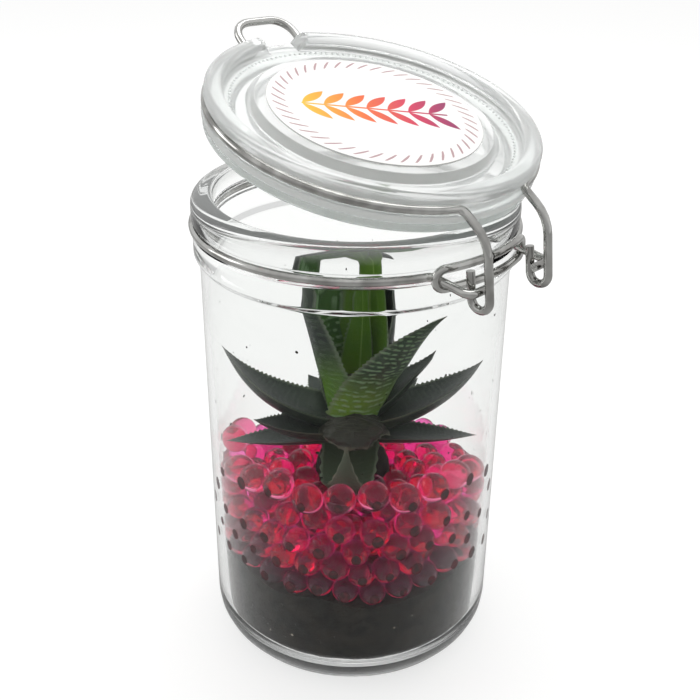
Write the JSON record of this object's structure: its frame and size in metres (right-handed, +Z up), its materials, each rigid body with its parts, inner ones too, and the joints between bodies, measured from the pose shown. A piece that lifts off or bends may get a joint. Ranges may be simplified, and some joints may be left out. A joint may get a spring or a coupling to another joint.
{
  "type": "clip-top jar terrarium",
  "caption": "Glass jar with a hinged glass lid on wire arms, planted with a toothed succulent in gel beads over dark soil; the lid lifts and swings back on its hinge.",
  "frame": {"origin": "middle of the jar's flat base", "axes": "+Z up along the jar's axis, +X towards the lid's hinge, +Y to the left seen from the loop side"},
  "size_m": [0.1196, 0.1056, 0.2091],
  "materials": {
    "glass": "polished",
    "steel": "polished",
    "seal": "satin",
    "label": "satin",
    "soil": "matte",
    "gel": "gloss",
    "roots": "matte",
    "leaf": "satin",
    "dry_leaf": "matte",
    "pale_leaf": "satin"
  },
  "bodies": {
    "planted_jar": {"jar": "glass", "soil": "soil", "bead_bed": "gel", "gel_bead_1": "gel", "gel_bead_2": "gel", "gel_bead_3": "gel", "gel_bead_4": "gel", "gel_bead_5": "gel", "gel_bead_6": "gel", "gel_bead_7": "gel", "gel_bead_8": "gel", "gel_bead_9": "gel", "gel_bead_10": "gel", "gel_bead_11": "gel", "gel_bead_12": "gel", "root_ball": "roots", "stem": "leaf", "leaf_heart_right": "leaf", "leaf_heart_left": "leaf", "leaf_upright_right": "leaf", "leaf_upright_left": "leaf", "leaf_banded": "leaf", "leaf_right_inner": "leaf", "leaf_back_left": "leaf", "leaf_back_right": "leaf", "leaf_big_left": "leaf", "leaf_big_right": "leaf", "leaf_back": "leaf", "leaf_dry_front": "dry_leaf", "leaf_left_front": "leaf", "leaf_front_pale": "pale_leaf", "leaf_low_left": "leaf", "leaf_low_right": "leaf", "leaf_low_back": "leaf", "leaf_low_back_right": "leaf", "neck_wire": "steel", "hinge_link": "steel"},
    "hinged_lid": {"lid": "glass", "seal_ring": "seal", "lid_label": "label", "lid_wire": "steel"}
  },
  "joints": [
    {"name": "lid_hinge", "type": "hinge", "parent": "planted_jar", "child": "hinged_lid", "pos_m": [0.062, 0, 0.153], "axis": [0, 1, 0], "range_deg": [-15, 195]}
  ]
}
